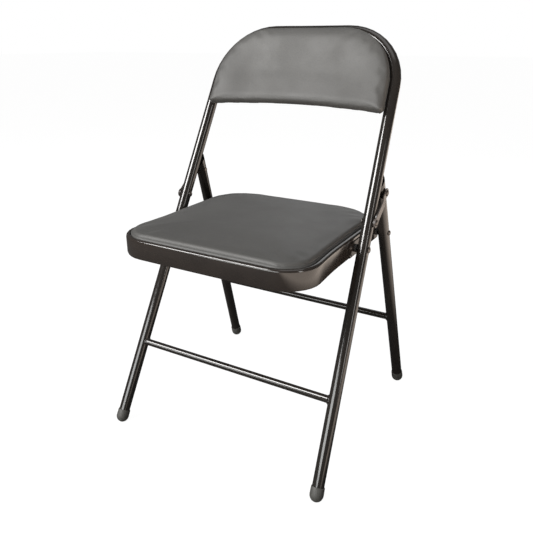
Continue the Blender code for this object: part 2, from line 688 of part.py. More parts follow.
def make_seat(looks, hinge):
    frame_shape = bmesh.new()
    bridge(frame_shape, seat_rings(seat_frame_profile()), closed_loop=True)
    frame = finish_object("seat_frame", frame_shape, looks["seat_steel"], hinge)

    ledge = SEAT_RIM - LEDGE_DEPTH
    board_low = ledge + GAP
    board_high = board_low + BOARD_THICKNESS
    board_shape = bmesh.new()
    bridge(board_shape, seat_rings([(BOARD_INSET, board_low), (BOARD_INSET, board_high)]),
           closed_ends=True)
    board = finish_object("seat_board", board_shape, looks["board"], hinge)

    low = board_high + GAP
    profile = [(CUSHION_INSET, low), (CUSHION_INSET - 0.0005, low + CUSHION_CROWN * 0.30),
               (CUSHION_INSET + 0.0012, low + CUSHION_CROWN * 0.55),
               (CUSHION_INSET + 0.0055, low + CUSHION_CROWN * 0.75),
               (CUSHION_INSET + 0.018, low + CUSHION_CROWN * 0.90),
               (CUSHION_INSET + 0.045, low + CUSHION_CROWN)]
    cushion_shape = bmesh.new()
    bridge(cushion_shape, seat_rings(profile), closed_ends=True)
    finish_object("seat_cushion", cushion_shape, looks["vinyl"], hinge)

    screw_holes = []
    for where, x, y in seat_screw_places():
        top = board_high - 0.0012
        make_screw(f"seat_screw_{where}", Vector((x, y, ledge - SHEET - GAP)), Vector((0.0, 0.0, -1.0)),
                   top - (ledge - SHEET - GAP), looks["screw"], hinge)
        screw_holes.append((Vector((x, y, ledge - 2.0 * SHEET)), Vector((x, y, top + GAP)),
                            SCREW_HOLE_RADIUS))
    screw_cutter = cutter_of_holes("cut_seat_screws", screw_holes, looks["board"], hinge)
    add_cutter(frame, screw_cutter)
    add_cutter(board, screw_cutter)

    side_holes = []
    outer_x = SEAT_HALF_WIDTH + 2.0 * PLATE_THICKNESS
    inner_x = SEAT_HALF_WIDTH - 3.0 * SHEET
    for word, side in SIDES:
        places = [(SEAT_HINGE.y, SEAT_HINGE.z, HOLE_RADIUS)]
        places += [(y, z, SCREW_HOLE_RADIUS) for y, z in plate_rivet_places()]
        for y, z, radius in places:
            side_holes.append((Vector((side * inner_x, y, z)), Vector((side * outer_x, y, z)), radius))
    side_cutter = cutter_of_holes("cut_seat_sides", side_holes, looks["seat_steel"], hinge)
    add_cutter(frame, side_cutter)
    for word, side in SIDES:
        plate = make_side_plate(word, side, looks["seat_steel"], hinge)
        add_cutter(plate, side_cutter)
        cut_hole(plate, f"cut_plate_{word}", Vector((side * SEAT_HALF_WIDTH, LEG_HINGE.y, LEG_HINGE.z)),
                 Vector((side * outer_x, LEG_HINGE.y, LEG_HINGE.z)), HOLE_RADIUS, hinge)
        for number, (y, z) in enumerate(plate_rivet_places(), start=1):
            base = Vector((side * (SEAT_HALF_WIDTH + GAP + PLATE_THICKNESS + GAP), y, z))
            make_screw(f"plate_rivet_{word}_{number}", base, Vector((side, 0.0, 0.0)),
                       2.0 * GAP + PLATE_THICKNESS + SHEET, looks["rivet"], hinge,
                       head=PLATE_RIVET_HEAD)


def make_screw(name, base, outward, depth, look, hinge, head=SCREW_HEAD_RADIUS):
    """A round head on a face at base, with its shank going in the other way."""
    profile = [(0.0, SCREW_HEAD_HEIGHT), (head * 0.6, SCREW_HEAD_HEIGHT * 0.85),
               (head * 0.95, SCREW_HEAD_HEIGHT * 0.35), (head, 0.0), (SCREW_SHANK_RADIUS, 0.0),
               (SCREW_SHANK_RADIUS, -depth), (0.0, -depth)]
    shape = turned(profile, base, outward, any_across(outward), SCREW_SIDES)
    return finish_object(name, shape, look, hinge)


def make_side_plate(word, side, look, hinge):
    """The thicker plate on the apron that holds both hinge rivets."""
    low_y = SEAT_HINGE.y - PLATE_FRONT_MARGIN
    high_y = LEG_HINGE.y + PLATE_REAR_MARGIN
    chamfer = PLATE_HALF_HEIGHT * 0.5
    low_z = SEAT_HINGE.z - PLATE_HALF_HEIGHT
    high_z = SEAT_HINGE.z + PLATE_HALF_HEIGHT
    corners = [(low_y + chamfer, low_z), (high_y - chamfer, low_z), (high_y, low_z + chamfer),
               (high_y, high_z - chamfer), (high_y - chamfer, high_z), (low_y + chamfer, high_z),
               (low_y, high_z - chamfer), (low_y, low_z + chamfer)]
    near = SEAT_HALF_WIDTH + GAP
    rings = [[Vector((side * x, y, z)) for y, z in corners] for x in (near, near + PLATE_THICKNESS)]
    shape = bmesh.new()
    bridge(shape, rings, closed_ends=True)
    return finish_object(f"seat_plate_{word}", shape, look, hinge, smooth_angle=30.0)


# ---------------------------------------------------------------- back

def back_outline(inset):
    """The pad's edge inside the arch, from the lower left corner clockwise, as
    (x, along) points drawn in from the tube's centre line."""
    slope = NARROWING * math.cos(FRONT_LEAN)
    top = (HEIGHT - TUBE_RADIUS) / math.cos(FRONT_LEAN)
    centre_along = top - ARCH_RADIUS
    side_inset = PAD_EDGE_INSET + inset
    top_inset = PAD_TOP_INSET + inset
    edge = half_width(centre_along * math.cos(FRONT_LEAN)) - side_inset
    radius_x = ARCH_RADIUS - side_inset
    radius_y = ARCH_RADIUS - top_inset
    arc = []
    steps = 9
    for step in range(steps + 1):
        angle = math.pi / 2.0 * step / steps
        arc.append((edge - radius_x + radius_x * math.cos(angle),
                    centre_along + radius_y * math.sin(angle)))
    bottom = PAD_BOTTOM_ALONG + inset
    low_edge = edge + slope * (centre_along - bottom)
    corner = PAD_CORNER - inset
    foot = []
    for step in range(5):
        angle = math.pi / 2.0 * step / 4
        foot.append((low_edge - corner + corner * math.sin(angle),
                     bottom + corner - corner * math.cos(angle)))
    right = foot + arc
    lower = [(low_edge - corner) * k / 5.0 for k in range(-4, 5)]
    points = right + [(-x, along) for x, along in reversed(right)]
    points += [(x, bottom) for x in lower]
    raised = []
    for x, along in points:
        share = max(0.0, 1.0 - (along - bottom) / 0.08)
        rise = PAD_BOTTOM_RISE * (1.0 - (x / low_edge) ** 2) * share
        raised.append((x, along + rise))
    return raised


def inside_arch(x, along):
    """Distance in from the front tube's centre line."""
    top = (HEIGHT - TUBE_RADIUS) / math.cos(FRONT_LEAN)
    centre_along = top - ARCH_RADIUS
    centre_x = half_width(centre_along * math.cos(FRONT_LEAN)) - ARCH_RADIUS
    if along > centre_along and abs(x) > centre_x:
        return ARCH_RADIUS - math.hypot(abs(x) - centre_x, along - centre_along)
    return min(half_width(along * math.cos(FRONT_LEAN)) - abs(x), top - along)


def back_depth(x, along):
    """How much further back than its edges the back is at this place."""
    edge = half_width(along * math.cos(FRONT_LEAN))
    across = max(0.0, 1.0 - (x / edge) ** 2)
    return PAD_HOLLOW * across * smoothstep((inside_arch(x, along) - TUBE_RADIUS) / PAD_BLEND)


def back_normal(x, along):
    """The direction that the rear of the back faces at this place."""
    step = 0.002
    right = front_point(x + step, along, back_depth(x + step, along))
    left = front_point(x - step, along, back_depth(x - step, along))
    upper = front_point(x, along + step, back_depth(x, along + step))
    lower = front_point(x, along - step, back_depth(x, along - step))
    return (upper - lower).cross(right - left).normalized()


def back_layer(name, insets, look):
    """A curved sheet. insets is a list of (inset, distance behind the tubes),
    from its rear face to its front face; both faces are filled with rows."""
    shape = bmesh.new()
    rings = []
    for inset, behind in insets:
        rings.append([front_point(x, along, behind + back_depth(x, along))
                      for x, along in back_outline(inset)])
    made = bridge(shape, rings)
    for ring, (inset, behind) in ((made[0], insets[0]), (made[-1], insets[-1])):
        fill_rows(shape, ring, behind)
    return finish_object(name, shape, look)


def fill_rows(shape, ring, behind):
    """Fill a face of the back with rings that shrink towards its middle."""
    count = len(ring)
    flat = [along_and_x(vertex.co) for vertex in ring]
    middle_x = 0.0
    middle_along = sum(along for x, along in flat) / count
    outer = ring
    for share in (0.82, 0.58, 0.30):
        inner = []
        for x, along in flat:
            px = middle_x + (x - middle_x) * share
            pa = middle_along + (along - middle_along) * share
            inner.append(shape.verts.new(front_point(px, pa, behind + back_depth(px, pa))))
        for index in range(count):
            after = (index + 1) % count
            shape.faces.new((outer[index], outer[after], inner[after], inner[index]))
        outer = inner
    depth = behind + back_depth(middle_x, middle_along)
    centre = shape.verts.new(front_point(middle_x, middle_along, depth))
    for index in range(count):
        shape.faces.new((outer[index], outer[(index + 1) % count], centre))


def along_and_x(place):
    """The (x, along) of a point in the chair's frame."""
    y = place.y + CENTRE_Y
    return place.x, y * math.sin(FRONT_LEAN) + place.z * math.cos(FRONT_LEAN)


def back_screw_places():
    return [(f"{row}_{word}", side * x, along) for row, x, along in BACK_SCREW_PLACES
            for word, side in SIDES]


def make_back(looks):
    panel_rear = PANEL_RECESS - TUBE_RADIUS
    panel_front = panel_rear - PANEL_THICKNESS
    board_rear = panel_front - BACK_LAYER_GAP
    board_front = board_rear - BACK_BOARD_THICKNESS
    pad_rear = board_front - BACK_LAYER_GAP
    pad_front = pad_rear - (PAD_THICKNESS - BACK_BOARD_THICKNESS)
    panel = back_layer("back_panel", [(PANEL_INSET, panel_rear), (PANEL_INSET, panel_front)],
                       looks["frame"])
    board = back_layer("back_board", [(BACK_BOARD_INSET, board_rear), (BACK_BOARD_INSET, board_front)],
                       looks["board"])
    depth = pad_front - pad_rear
    back_layer("back_pad", [(0.0015, pad_rear), (0.0, pad_rear + depth * 0.30),
                            (0.0012, pad_rear + depth * 0.62), (0.0060, pad_rear + depth * 0.90),
                            (0.0130, pad_front)], looks["vinyl"])
    holes = []
    for where, x, along in back_screw_places():
        normal = back_normal(x, along)
        face = front_point(x, along, panel_rear + back_depth(x, along))
        shank = PANEL_THICKNESS + BACK_LAYER_GAP + BACK_BOARD_THICKNESS * 0.8
        make_screw(f"back_screw_{where}", face + normal * BACK_SCREW_CLEARANCE, normal, shank,
                   looks["screw"], None)
        holes.append((face + normal * SCREW_HEAD_RADIUS, face - normal * (shank + GAP),
                      SCREW_HOLE_RADIUS))
    cutter = cutter_of_holes("cut_back_screws", holes, looks["board"], None)
    add_cutter(panel, cutter)
    add_cutter(board, cutter)


# ---------------------------------------------------------------- assembly

def clear_scene():
    for old in list(bpy.data.objects):
        bpy.data.objects.remove(old, do_unlink=True)


def build():
    clear_scene()
    looks = make_materials()
    hinges = {"seat": make_hinge("seat_hinge", SEAT_HINGE)}
    hinges["leg"] = make_hinge("leg_hinge", LEG_HINGE, hinges["seat"])
    for word, side in SIDES:
        hinges[f"link_{word}"] = make_hinge(f"link_hinge_{word}", LINK_HINGE)

    make_front_tube(looks["frame"])
    make_crossbar("front_crossbar", FRONT_BAR_HEIGHT, front_point, FRONT_LEAN, looks["frame"])
    make_crossbar("rear_crossbar", REAR_BAR_HEIGHT, rear_point, REAR_LEAN, looks["frame"],
                  hinges["leg"])
    for word, side in SIDES:
        front_way = (front_axis(side, 1.0) - front_axis(side, 0.0)).normalized()
        rear_way = (rear_axis(side, 1.0) - rear_axis(side, 0.0)).normalized()
        make_foot(f"front_foot_{word}", front_axis(side, 0.0), front_way, FRONT_LEAN, looks["rubber"])
        make_foot(f"rear_foot_{word}", rear_axis(side, 0.0), rear_way, REAR_LEAN, looks["rubber"],
                  hinges["leg"])
        make_rear_leg(word, side, looks["frame"], hinges["leg"])
        make_link(word, side, looks["link"], hinges[f"link_{word}"])
        make_hinge_hardware(word, side, looks, hinges)
    make_seat(looks, hinges["seat"])
    make_back(looks)
    bpy.context.view_layer.update()


build()
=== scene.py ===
"""Looks of the folding chair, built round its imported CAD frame.

Metres, +Z up. The painted steel, rivets, links, screws and feet are the CAD
nodes with procedural materials. The seat cushion and the back pad are simulated
vinyl pads that stand for their CAD solids. The vinyl's turned-down edge round the
seat board and the weld beads are added pieces.
"""
import json
import math

import bmesh
import bpy
import numpy as np
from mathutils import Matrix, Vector, noise

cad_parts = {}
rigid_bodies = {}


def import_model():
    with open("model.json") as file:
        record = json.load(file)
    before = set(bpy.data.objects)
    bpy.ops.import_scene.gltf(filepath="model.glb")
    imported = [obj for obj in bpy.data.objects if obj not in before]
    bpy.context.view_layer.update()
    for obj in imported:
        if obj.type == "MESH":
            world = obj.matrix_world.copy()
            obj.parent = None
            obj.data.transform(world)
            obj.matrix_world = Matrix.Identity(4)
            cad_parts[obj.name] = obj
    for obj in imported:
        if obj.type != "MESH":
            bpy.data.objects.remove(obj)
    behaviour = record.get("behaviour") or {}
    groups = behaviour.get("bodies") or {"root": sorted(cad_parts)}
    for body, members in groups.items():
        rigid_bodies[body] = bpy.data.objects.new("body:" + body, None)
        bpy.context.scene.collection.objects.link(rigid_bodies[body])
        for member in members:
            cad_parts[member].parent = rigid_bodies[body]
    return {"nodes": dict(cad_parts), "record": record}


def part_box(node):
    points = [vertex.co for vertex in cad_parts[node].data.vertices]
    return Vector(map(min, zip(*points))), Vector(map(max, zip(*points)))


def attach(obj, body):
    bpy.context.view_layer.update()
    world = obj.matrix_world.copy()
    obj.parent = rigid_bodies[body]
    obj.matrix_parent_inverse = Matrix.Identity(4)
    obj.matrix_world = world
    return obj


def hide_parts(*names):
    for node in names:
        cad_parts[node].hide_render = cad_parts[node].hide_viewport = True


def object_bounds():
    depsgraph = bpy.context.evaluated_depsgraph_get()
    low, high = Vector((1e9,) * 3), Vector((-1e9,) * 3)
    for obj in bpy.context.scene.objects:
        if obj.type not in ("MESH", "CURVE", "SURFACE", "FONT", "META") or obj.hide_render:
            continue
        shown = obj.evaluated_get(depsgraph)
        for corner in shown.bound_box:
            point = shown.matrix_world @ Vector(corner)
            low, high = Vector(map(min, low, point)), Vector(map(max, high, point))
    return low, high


for old in list(bpy.data.objects):
    bpy.data.objects.remove(old, do_unlink=True)
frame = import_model()
bpy.context.view_layer.update()
CAD_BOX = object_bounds()
NODES = frame["nodes"]

# The chair's frame, as the CAD model has it
FRONT_LEAN = math.radians(27.82)
REAR_LEAN = math.radians(18.48)
CENTRE_Y = 0.2271
FOOT_SPACING = 0.4523
HALF_WIDTH_AT_FLOOR = 0.2262
NARROWING = 0.047
TUBE_RADIUS = 0.011
BAR_RADIUS = 0.0070
ARCH_RADIUS = 0.114
TUBE_TOP_ALONG = (CAD_BOX[1].z - TUBE_RADIUS) / math.cos(FRONT_LEAN)

# How the CAD facets are shaded
SMOOTH_ANGLE = math.radians(32.0)
WELD_GAP = 1e-5

# Swelling and smoothing of the two pads
CUSHION_VOXEL = 0.0042
PAD_VOXEL = 0.0036
HELD_SHARE = 0.4
PRESSURE = 4.0
CLOTH_STIFFNESS = 15.0
SHEAR_STIFFNESS = 8.0
BENDING_STIFFNESS = 1.5
LAST_FRAME = 20
FAIR_ROUNDS = 8
FAIR_IN = 0.50
FAIR_OUT = -0.52

# Outline of the seat
SEAT_HALF_WIDTH = 0.190
SEAT_FRONT = -0.0040
SEAT_REAR = 0.3755
SEAT_MIDDLE = 0.5 * (SEAT_FRONT + SEAT_REAR)
SEAT_FRONT_CORNER = 0.062
SEAT_REAR_CORNER = 0.088
SEAT_FRONT_BOW = 0.0015
SEAT_FRONT_STEPS = 4
SEAT_CORNER_STEPS = 12
SEAT_FLARE = 0.0050
FLARE_START = 0.140
FLARE_END = 0.030
FLARE_ROWS = [FLARE_START - (FLARE_START - FLARE_END) * 0.1 * step for step in range(7, -1, -1)]

# Seat cushion
CUSHION_INSET = 0.0088
CUSHION_EDGE_ROLL = 0.0060
CUSHION_SHOULDER = 0.0092
CUSHION_START = 0.0012
CUSHION_CAP = 0.0015
CUSHION_SIDE_STEPS = 10
CUSHION_DOME_REACH = 0.11
CUSHION_DOME_POWER = 0.7
CUSHION_SPARE_HEIGHT = 0.004
CUSHION_DRIFT = 0.0007
CUSHION_DRIFT_SCALE = 11.0
CUSHION_DRIFT_SEED = 3.0
CUSHION_DRIFT_REACH = 0.03

# The vinyl's turned-down edge round the seat board
WRAP_OUTER = 0.0092
WRAP_INNER = 0.0101
WRAP_OVERLAP = 0.0024
WRAP_FLANGE = 0.0220
WRAP_CURL = 0.0010
WRAP_CLEARANCE = 0.0002

# Back pad, in the front frame's own plane
PAD_EDGE_INSET = 0.0050
PAD_TOP_INSET = 0.0010
PAD_BOTTOM_ALONG = 0.6960
PAD_BOTTOM_RISE = 0.0150
PAD_RISE_REACH = 0.08
PAD_HOLLOW = 0.0120
PAD_BLEND = 0.085
PAD_CORNER = 0.009
PAD_REAR = -0.0108
PAD_FRONT = -0.0277
PAD_ROLL = 0.0052
PAD_START = 0.0010
PAD_CAP = 0.0015
PAD_ROLL_STEPS = 7
PAD_CORNER_STEPS = 6
PAD_ARC_STEPS = 18
PAD_BOTTOM_STEPS = 9
PAD_TRIM_MARGIN = 1.5 * PAD_CORNER
PAD_TRIM_DEPTH = 2.5 * PAD_VOXEL
PAD_TRIM_START = 1.5
PAD_DRIFT = 0.0006
PAD_DRIFT_SCALE = 13.0
PAD_DRIFT_SEED = 9.0

# Weld beads at the crossbars' ends
BEAD_RADIUS = 0.0017
BEAD_OFFSET = 0.0007
BEAD_STEPS = 40
BEAD_SIDES = 8
BEAD_RIPPLES = 9.0
BEAD_RIPPLE = 0.16
BEAD_LUMPS = 0.35
BEAD_LUMP_SCALE = 240.0

# Camera, floor, lights and room
CAMERA_PLACE = (0.5405, -0.9393, 0.7479)
CAMERA_TURN = (math.radians(90.0 - 21.61), 0.0, math.radians(30.06))
CAMERA_LENS = 38.59
SENSOR_WIDTH = 36.0
FLOOR_REACH = 30.0
FLOOR_DARK = (0.075, 0.075, 0.075)
FLOOR_LIGHT = (0.090, 0.090, 0.090)
PAPER_GLOW = 0.97
WARM_GLOW = 2.6
WARM_COLOUR = (1.0, 0.86, 0.74)
WARM_EDGE = (0.42, 0.92)
PAPER_WHITE = (1.0, 1.0, 1.0)
ROOM_COLOUR = (0.13, 0.128, 0.126)
CHAIR_MIDDLE = (0.0, 0.0, 0.45)
CHAIR_FOOT = (0.0, 0.0, 0.0)

# Name, place, target, width and height in metres, power in watts, colour
LIGHTS = (
    ("key_window", (-1.60, -2.00, 2.30), CHAIR_MIDDLE, (1.5, 0.9), 120.0, (1.0, 0.99, 0.975)),
    ("front_fill", (-0.70, -3.20, 1.05), CHAIR_MIDDLE, (2.4, 0.9), 64.0, (0.985, 1.0, 0.99)),
    ("right_window", (2.30, -1.00, 1.30), CHAIR_MIDDLE, (0.4, 1.6), 12.0, (1.0, 0.97, 0.93)),
    ("top_box", (0.2, 0.2, 2.9), CHAIR_FOOT, (1.6, 1.6), 12.0, (1.0, 1.0, 1.0)),
    ("rear_box", (-0.6, 2.6, 1.5), CHAIR_MIDDLE, (1.4, 1.2), 6.0, (0.97, 0.985, 1.0)),
)


# ---------------------------------------------------------------- node helpers

class Graph:
    """Short calls for building one material's nodes."""

    def __init__(self, name):
        self.material = bpy.data.materials.new(name)
        self.material.use_nodes = True
        self.nodes = self.material.node_tree.nodes
        self.links = self.material.node_tree.links
        self.shader = self.nodes["Principled BSDF"]
        self.place = self.nodes.new("ShaderNodeTexCoord").outputs["Object"]

    def set(self, **values):
        for key, value in values.items():
            self.shader.inputs[key.replace("_", " ")].default_value = value

    def noise(self, scale, detail=3.0, rough=0.5, place=None):
        made = self.nodes.new("ShaderNodeTexNoise")
        made.inputs["Scale"].default_value = scale
        made.inputs["Detail"].default_value = detail
        made.inputs["Roughness"].default_value = rough
        self.links.new(place or self.place, made.inputs["Vector"])
        return made.outputs["Fac"]

    def cells(self, scale, feature="F1"):
        made = self.nodes.new("ShaderNodeTexVoronoi")
        made.feature = feature
        made.inputs["Scale"].default_value = scale
        self.links.new(self.place, made.inputs["Vector"])
        return made.outputs["Distance"]

    def stretched(self, scale):
        made = self.nodes.new("ShaderNodeMapping")
        made.inputs["Scale"].default_value = scale
        self.links.new(self.place, made.inputs["Vector"])
        return made.outputs["Vector"]

    def ramp(self, fac, stops):
        made = self.nodes.new("ShaderNodeValToRGB")
        band = made.color_ramp
        while len(band.elements) < len(stops):
            band.elements.new(0.5)
        for element, (place, colour) in zip(band.elements, stops):
            element.position = place
            element.color = (*colour, 1.0)
        self.links.new(fac, made.inputs["Fac"])
        return made.outputs["Color"]

    def spread(self, fac, low, high, start=0.0, end=1.0):
        made = self.nodes.new("ShaderNodeMapRange")
        ends = {"From Min": start, "From Max": end, "To Min": low, "To Max": high}
        for key, value in ends.items():
            made.inputs[key].default_value = value
        self.links.new(fac, made.inputs["Value"])
        return made.outputs["Result"]

    def maths(self, operation, first, second):
        made = self.nodes.new("ShaderNodeMath")
        made.operation = operation
        for socket, value in zip(made.inputs, (first, second)):
            if isinstance(value, float):
                socket.default_value = value
            else:
                self.links.new(value, socket)
        return made.outputs[0]

    def mix(self, fac, first, second):
        made = self.nodes.new("ShaderNodeMix")
        made.data_type = "RGBA"
        self.links.new(fac, made.inputs[0])
        for socket, value in ((made.inputs[6], first), (made.inputs[7], second)):
            if isinstance(value, tuple):
                socket.default_value = (*value, 1.0)
            else:
                self.links.new(value, socket)
        return made.outputs[2]

    def axis(self, name):
        made = self.nodes.new("ShaderNodeSeparateXYZ")
        self.links.new(self.place, made.inputs[0])
        return made.outputs[name]

    def bump(self, layers):
        """layers is a list of (height, strength, distance in metres)."""
        normal = None
        for height, strength, distance in layers:
            made = self.nodes.new("ShaderNodeBump")
            made.inputs["Strength"].default_value = strength
            made.inputs["Distance"].default_value = distance
            self.links.new(height, made.inputs["Height"])
            if normal is not None:
                self.links.new(normal, made.inputs["Normal"])
            normal = made.outputs["Normal"]
        self.links.new(normal, self.shader.inputs["Normal"])

    def colour(self, value):
        self.links.new(value, self.shader.inputs["Base Color"])

    def roughness(self, value):
        self.links.new(value, self.shader.inputs["Roughness"])


# ---------------------------------------------------------------- materials

def enamel(name, dark, light, rough_low, rough_high, wear=0.5):
    """Glossy stoved enamel: orange peel, faint streaks, dust and rubbed edges."""
    graph = Graph(name)
    cloud = graph.noise(9.0, 4.0, 0.6)
    base = graph.mix(graph.spread(cloud, 0.0, 1.0, 0.30, 0.75), dark, light)
    geometry = graph.nodes.new("ShaderNodeNewGeometry")
    edge = graph.spread(geometry.outputs["Pointiness"], 0.0, wear, 0.66, 0.78)
    rubbed = graph.maths("MULTIPLY", edge, graph.spread(graph.noise(140.0, 4.0), 0.0, 1.0, 0.45, 0.7))
    base = graph.mix(rubbed, base, (0.16, 0.15, 0.14))
    dust = graph.spread(graph.noise(900.0, 2.0, 0.7), 0.0, 0.10, 0.66, 0.80)
    graph.colour(graph.mix(dust, base, (0.15, 0.14, 0.13)))
    smear = graph.noise(6.0, 3.0, 0.6, graph.stretched((1.0, 1.0, 5.0)))
    graph.roughness(graph.spread(smear, rough_low, rough_high, 0.3, 0.75))
    graph.bump([(graph.noise(260.0, 2.0), 0.05, 0.0003), (graph.noise(45.0, 1.0), 0.05, 0.0008)])
    graph.set(Metallic=0.0, IOR=1.50)
    return graph.material


def vinyl(name, dark, light, rough_low, rough_high):
    """Grained vinyl: small pebbles with pores, soft clouding, painted shade darkening the grain's creases
    and a low sheen.
    """
    graph = Graph(name)
    cloud = graph.noise(7.0, 4.0, 0.55)
    base = graph.mix(graph.spread(cloud, 0.0, 1.0, 0.3, 0.7), dark, light)
    pebble = graph.cells(950.0)
    crease = graph.cells(420.0, "DISTANCE_TO_EDGE")
    # Painted shade: the colour is darkened along the edges of the grain's cells, where the creases are.
    painted_crease_shade = graph.spread(crease, 0.45, 0.0, 0.0, 0.16)
    graph.colour(graph.mix(painted_crease_shade, base, tuple(0.45 * value for value in dark)))
    worn = graph.noise(16.0, 3.0, 0.6)
    graph.roughness(graph.spread(worn, rough_low, rough_high, 0.3, 0.7))
    graph.bump([(crease, 0.30, 0.00030), (pebble, 0.22, 0.00022),
                (graph.noise(60.0, 3.0), 0.12, 0.0008)])
    graph.set(Sheen_Weight=0.08, Sheen_Roughness=0.45, IOR=1.5)
    return graph.material


def rubber(name):
    """Moulded foot rubber, scuffed pale towards the floor."""
    graph = Graph(name)
    cloud = graph.noise(90.0, 4.0, 0.6)
    base = graph.mix(cloud, (0.040, 0.039, 0.036), (0.075, 0.073, 0.067))
    low = graph.spread(graph.axis("Z"), 0.75, 0.0, 0.0, 0.013)
    scuff = graph.maths("MULTIPLY", low, graph.spread(graph.noise(380.0, 4.0), 0.0, 1.0, 0.4, 0.62))
    graph.colour(graph.mix(scuff, base, (0.19, 0.18, 0.165)))
    graph.roughness(graph.spread(cloud, 0.48, 0.72))
    graph.bump([(graph.noise(700.0, 3.0), 0.25, 0.0003)])
    return graph.material


def plywood(name):
    """Raw ply: long grain across the chair, with pores and pale glue stains."""
    graph = Graph(name)
    grain = graph.noise(14.0, 6.0, 0.65, graph.stretched((1.0, 16.0, 16.0)))
    fine = graph.noise(60.0, 3.0, 0.6, graph.stretched((1.0, 22.0, 22.0)))
    both = graph.maths("ADD", graph.maths("MULTIPLY", grain, 0.7), graph.maths("MULTIPLY", fine, 0.3))
    graph.colour(graph.ramp(both, [(0.32, (0.22, 0.13, 0.065)), (0.50, (0.42, 0.28, 0.155)),
                                   (0.66, (0.55, 0.40, 0.25))]))
    graph.roughness(graph.spread(fine, 0.62, 0.85))
    graph.bump([(both, 0.35, 0.0004)])
    return graph.material


def bare_metal(name, dark, light, metallic, rough_low, rough_high):
    """Satin or plated metal with fine turning marks and tarnish."""
    graph = Graph(name)
    cloud = graph.noise(160.0, 4.0, 0.6)
    graph.colour(graph.mix(graph.spread(cloud, 0.0, 1.0, 0.3, 0.7), dark, light))
    graph.roughness(graph.spread(graph.noise(420.0, 3.0), rough_low, rough_high, 0.3, 0.7))
    graph.bump([(graph.noise(900.0, 2.0), 0.15, 0.0002), (cloud, 0.12, 0.0004)])
    graph.set(Metallic=metallic)
    return graph.material


def moulded(name):
    """Matt moulded bush plastic."""
    graph = Graph(name)
    cloud = graph.noise(240.0, 3.0)
    graph.colour(graph.mix(cloud, (0.020, 0.020, 0.020), (0.045, 0.044, 0.043)))
    graph.roughness(graph.spread(cloud, 0.42, 0.62))
    graph.bump([(graph.noise(1100.0, 2.0), 0.2, 0.0002)])
    return graph.material


LOOKS = {
    "frame_paint": enamel("look_frame_enamel", (0.012, 0.0105, 0.0095), (0.020, 0.017, 0.015), 0.07, 0.17),
    "seat_paint": enamel("look_seat_enamel", (0.017, 0.0140, 0.0125), (0.026, 0.021, 0.018), 0.10, 0.22),
    "link_steel": enamel("look_link_enamel", (0.050, 0.043, 0.040), (0.085, 0.072, 0.066), 0.28, 0.42, 0.8),
    "rivet_steel": bare_metal("look_rivet", (0.050, 0.045, 0.042), (0.120, 0.108, 0.100), 0.6, 0.22, 0.40),
    "bush_plastic": moulded("look_bush"),
    "screw_steel": bare_metal("look_zinc", (0.42, 0.42, 0.43), (0.60, 0.60, 0.61), 1.0, 0.26, 0.44),
    "vinyl": vinyl("look_vinyl", (0.050, 0.049, 0.047), (0.062, 0.061, 0.058), 0.50, 0.58),
    "board": plywood("look_plywood"),
    "foot_rubber": rubber("look_rubber"),
}


def smoothing_group():
    """Joins the CAD mesh's split facets and shades them smooth up to an angle."""
    group = bpy.data.node_groups.new("smooth_facets", "GeometryNodeTree")
    group.interface.new_socket("Geometry", in_out="INPUT", socket_type="NodeSocketGeometry")
    group.interface.new_socket("Geometry", in_out="OUTPUT", socket_type="NodeSocketGeometry")
    source = group.nodes.new("NodeGroupInput")
    result = group.nodes.new("NodeGroupOutput")
    merge = group.nodes.new("GeometryNodeMergeByDistance")
    merge.inputs["Distance"].default_value = WELD_GAP
    strip = group.nodes.new("GeometryNodeRemoveAttribute")
    strip.inputs["Name"].default_value = "custom_normal"
    faces = group.nodes.new("GeometryNodeSetShadeSmooth")
    faces.inputs["Shade Smooth"].default_value = True
    edges = group.nodes.new("GeometryNodeSetShadeSmooth")
    edges.domain = "EDGE"
    edges.inputs["Shade Smooth"].default_value = False
    angle = group.nodes.new("GeometryNodeInputMeshEdgeAngle")
    steep = group.nodes.new("FunctionNodeCompare")
    steep.data_type = "FLOAT"
    steep.operation = "GREATER_THAN"
    steep.inputs["B"].default_value = SMOOTH_ANGLE
    link = group.links.new
    link(source.outputs[0], strip.inputs["Geometry"])
    link(strip.outputs["Geometry"], merge.inputs["Geometry"])
    link(merge.outputs["Geometry"], faces.inputs["Geometry"])
    link(faces.outputs["Geometry"], edges.inputs["Geometry"])
    link(angle.outputs["Unsigned Angle"], steep.inputs["A"])
    link(steep.outputs["Result"], edges.inputs["Selection"])
    link(edges.outputs["Geometry"], result.inputs[0])
    return group


def dress_cad():
    group = smoothing_group()
    slots = {row["node"]: row["material_slot"] for row in frame["record"]["subparts"]}
    for name, node in NODES.items():
        look = LOOKS[slots[name]]
        for slot in node.material_slots:
            slot.material = look
        modifier = node.modifiers.new("smooth", "NODES")
        modifier.node_group = group


# ---------------------------------------------------------------- places

def front_point(x, along, behind):
    y = along * math.sin(FRONT_LEAN) + behind * math.cos(FRONT_LEAN)
    z = along * math.cos(FRONT_LEAN) - behind * math.sin(FRONT_LEAN)
    return Vector((x, y - CENTRE_Y, z))


def rear_point(x, along, behind):
    y = FOOT_SPACING - along * math.sin(REAR_LEAN) + behind * math.cos(REAR_LEAN)
    z = along * math.cos(REAR_LEAN) + behind * math.sin(REAR_LEAN)
    return Vector((x, y - CENTRE_Y, z))


def half_width(z):
    return HALF_WIDTH_AT_FLOOR - NARROWING * z


def smoothstep(value):
    value = min(1.0, max(0.0, value))
    return value * value * (3.0 - 2.0 * value)


# ---------------------------------------------------------------- mesh helpers

def piece(name, shape, look, smooth=True):
    """Turn a bmesh into a named object with one material."""
    bmesh.ops.recalc_face_normals(shape, faces=shape.faces)
    mesh = bpy.data.meshes.new(name)
    shape.to_mesh(mesh)
    shape.free()
    if smooth:
        mesh.shade_smooth()
    made = bpy.data.objects.new(name, mesh)
    bpy.context.scene.collection.objects.link(made)
    made.data.materials.append(look)
    return made


